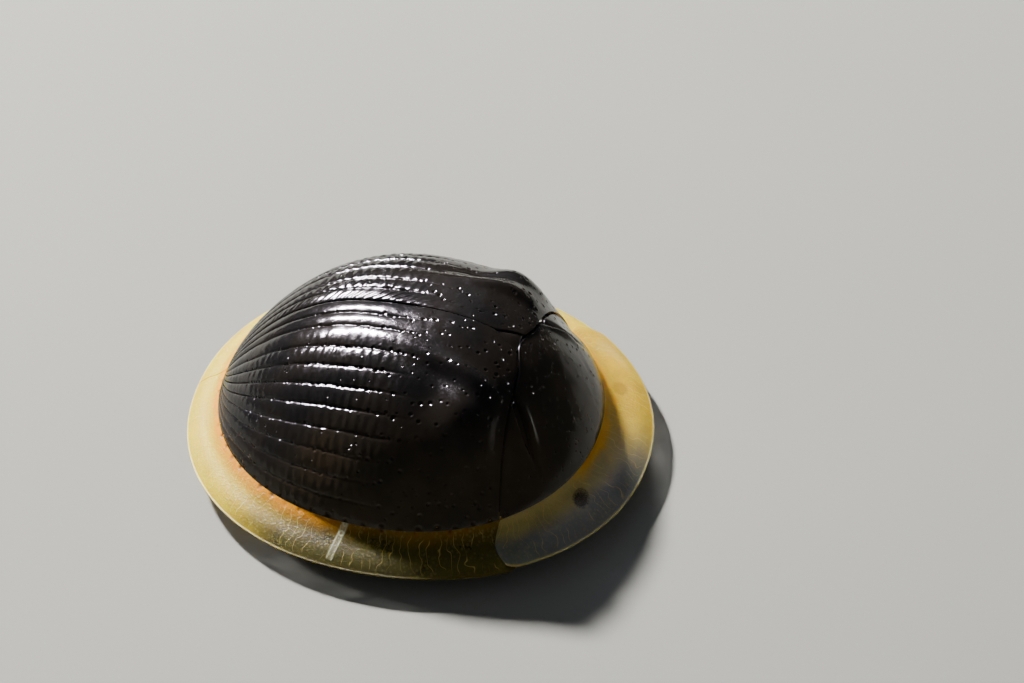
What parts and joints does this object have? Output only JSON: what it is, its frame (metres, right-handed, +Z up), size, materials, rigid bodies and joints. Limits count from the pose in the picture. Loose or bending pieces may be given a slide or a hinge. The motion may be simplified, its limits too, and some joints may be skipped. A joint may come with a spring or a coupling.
{
  "type": "tortoise beetle",
  "caption": "Tortoise beetle with a ribbed black dome inside a thin amber margin, clamped down with head, feelers and legs drawn in below, standing on its feet.",
  "frame": {"origin": "centre of the bounding box's bottom, on the floor under the beetle", "axes": "+X is the beetle's own left, -Y is the way the head points, +Z is up"},
  "size_m": [0.0068, 0.007, 0.0027],
  "materials": {
    "shell_black": "glossy black cuticle with a faint brown tinge",
    "margin_amber": "thin see-through amber cuticle, satin gloss",
    "underside_brown": "satin dark brown cuticle",
    "eye_black": "faceted black eye, glossy",
    "limb_amber": "satin amber-brown cuticle"
  },
  "bodies": {
    "root": {"pronotum": "shell_black", "scutellum": "shell_black", "elytron_left": "shell_black", "elytron_right": "shell_black", "prothorax": "underside_brown", "thorax": "underside_brown", "abdomen": "underside_brown", "head": "underside_brown", "eye_left": "eye_black", "eye_right": "eye_black", "antenna_left": "limb_amber", "antenna_right": "limb_amber", "leg_front_left": "limb_amber", "leg_front_right": "limb_amber", "leg_middle_left": "limb_amber", "leg_middle_right": "limb_amber", "leg_hind_left": "limb_amber", "leg_hind_right": "limb_amber"}
  },
  "joints": []
}
